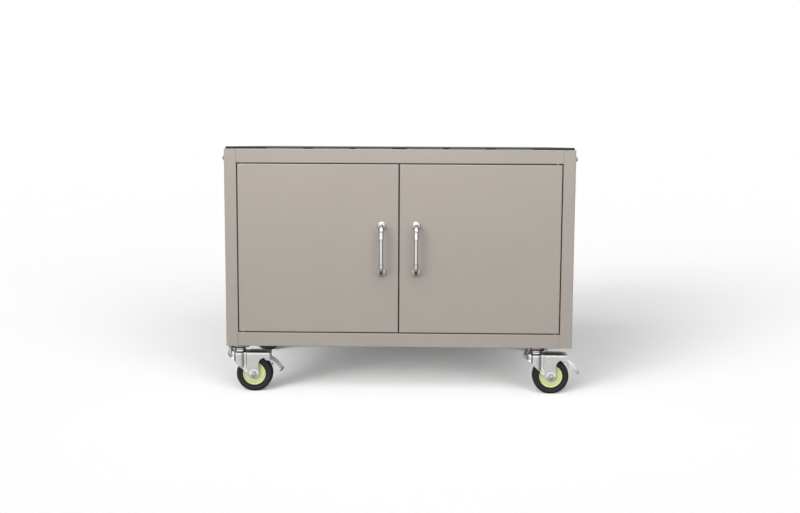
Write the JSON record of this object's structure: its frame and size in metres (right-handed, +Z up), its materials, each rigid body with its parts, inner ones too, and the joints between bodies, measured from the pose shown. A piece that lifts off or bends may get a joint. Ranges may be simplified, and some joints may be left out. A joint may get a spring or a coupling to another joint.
{
  "type": "grill cart",
  "caption": "Low steel storage cart for a table-top grill: square-tube frame, double doors with bar handles, inner shelf and swivel casters with front brakes.",
  "frame": {"origin": "on the floor, under the middle of the whole cart with its handles and casters", "axes": "+X to the right as seen from the front, along the length; +Y to the back; +Z up"},
  "size_m": [1.007, 0.7138, 0.6835],
  "materials": {
    "taupe_powder_coat": "fine-textured satin powder coat",
    "black_enamel": "satin black",
    "brushed_steel": "satin",
    "zinc_plated_steel": "bright zinc plate",
    "lime_plastic": "moulded, satin",
    "tyre": "matte",
    "black_rubber": "matte",
    "black_plastic": "matte"
  },
  "bodies": {
    "cabinet": {"post_front_left": "taupe_powder_coat", "post_front_right": "taupe_powder_coat", "post_rear_left": "taupe_powder_coat", "post_rear_right": "taupe_powder_coat", "rail_front_top": "taupe_powder_coat", "rail_front_bottom": "taupe_powder_coat", "rail_rear_top": "taupe_powder_coat", "rail_rear_bottom": "taupe_powder_coat", "rail_left_top": "taupe_powder_coat", "rail_right_top": "taupe_powder_coat", "rail_left_bottom": "taupe_powder_coat", "rail_right_bottom": "taupe_powder_coat", "side_panel_left": "taupe_powder_coat", "side_panel_right": "taupe_powder_coat", "back_panel": "taupe_powder_coat", "bottom_panel": "taupe_powder_coat", "shelf": "taupe_powder_coat", "top_plate": "black_enamel", "top_pads": "black_rubber", "door_pivot_pins": "zinc_plated_steel", "door_stop": "taupe_powder_coat", "door_catches": "black_plastic", "side_cap_nuts": "brushed_steel", "caster_plates": "zinc_plated_steel", "kingpins": "zinc_plated_steel", "caster_studs": "zinc_plated_steel"},
    "door_left": {"door_left_skin": "taupe_powder_coat", "door_left_liner": "taupe_powder_coat", "door_left_handle_bar": "brushed_steel", "door_left_handle_elbows": "brushed_steel", "door_left_handle_rosettes": "brushed_steel"},
    "door_right": {"door_right_skin": "taupe_powder_coat", "door_right_liner": "taupe_powder_coat", "door_right_handle_bar": "brushed_steel", "door_right_handle_elbows": "brushed_steel", "door_right_handle_rosettes": "brushed_steel"},
    "caster_front_left": {"caster_fork_front_left": "zinc_plated_steel", "axle_front_left": "zinc_plated_steel"},
    "wheel_front_left": {"wheel_core_front_left": "lime_plastic", "tyre_front_left": "tyre"},
    "caster_front_right": {"caster_fork_front_right": "zinc_plated_steel", "axle_front_right": "zinc_plated_steel"},
    "wheel_front_right": {"wheel_core_front_right": "lime_plastic", "tyre_front_right": "tyre"},
    "caster_rear_left": {"caster_fork_rear_left": "zinc_plated_steel", "axle_rear_left": "zinc_plated_steel"},
    "wheel_rear_left": {"wheel_core_rear_left": "lime_plastic", "tyre_rear_left": "tyre"},
    "caster_rear_right": {"caster_fork_rear_right": "zinc_plated_steel", "axle_rear_right": "zinc_plated_steel"},
    "wheel_rear_right": {"wheel_core_rear_right": "lime_plastic", "tyre_rear_right": "tyre"},
    "brake_front_left": {"brake_pedal_front_left": "zinc_plated_steel", "pedal_tip_front_left": "black_rubber"},
    "brake_front_right": {"brake_pedal_front_right": "zinc_plated_steel", "pedal_tip_front_right": "black_rubber"}
  },
  "joints": [
    {"name": "door_left_hinge", "type": "hinge", "parent": "cabinet", "child": "door_left", "pos_m": [-0.4279, -0.3071, 0.40675], "axis": [0, 0, 1], "range_deg": [-110, 0]},
    {"name": "door_right_hinge", "type": "hinge", "parent": "cabinet", "child": "door_right", "pos_m": [0.4279, -0.3071, 0.40675], "axis": [0, 0, 1], "range_deg": [0, 110]},
    {"name": "swivel_front_left", "type": "hinge", "parent": "cabinet", "child": "caster_front_left", "pos_m": [-0.446, -0.2611, 0.112], "axis": [0, 0, 1], "continuous": true},
    {"name": "spin_front_left", "type": "hinge", "parent": "caster_front_left", "child": "wheel_front_left", "pos_m": [-0.405, -0.2611, 0.05], "axis": [0, 1, 0], "continuous": true},
    {"name": "brake_pedal_front_left", "type": "hinge", "parent": "caster_front_left", "child": "brake_front_left", "pos_m": [-0.36756, -0.2611, 0.09624], "axis": [0, 1, 0], "range_deg": [0, 10]},
    {"name": "swivel_front_right", "type": "hinge", "parent": "cabinet", "child": "caster_front_right", "pos_m": [0.383, -0.2611, 0.112], "axis": [0, 0, 1], "continuous": true},
    {"name": "spin_front_right", "type": "hinge", "parent": "caster_front_right", "child": "wheel_front_right", "pos_m": [0.424, -0.2611, 0.05], "axis": [0, 1, 0], "continuous": true},
    {"name": "brake_pedal_front_right", "type": "hinge", "parent": "caster_front_right", "child": "brake_front_right", "pos_m": [0.46144, -0.2611, 0.09624], "axis": [0, 1, 0], "range_deg": [0, 10]},
    {"name": "swivel_rear_left", "type": "hinge", "parent": "cabinet", "child": "caster_rear_left", "pos_m": [-0.41252, 0.3049, 0.112], "axis": [0, 0, 1], "continuous": true},
    {"name": "spin_rear_left", "type": "hinge", "parent": "caster_rear_left", "child": "wheel_rear_left", "pos_m": [-0.45352, 0.3049, 0.05], "axis": [0, 1, 0], "continuous": true},
    {"name": "swivel_rear_right", "type": "hinge", "parent": "cabinet", "child": "caster_rear_right", "pos_m": [0.41252, 0.3049, 0.112], "axis": [0, 0, 1], "continuous": true},
    {"name": "spin_rear_right", "type": "hinge", "parent": "caster_rear_right", "child": "wheel_rear_right", "pos_m": [0.45352, 0.3049, 0.05], "axis": [0, 1, 0], "continuous": true}
  ]
}
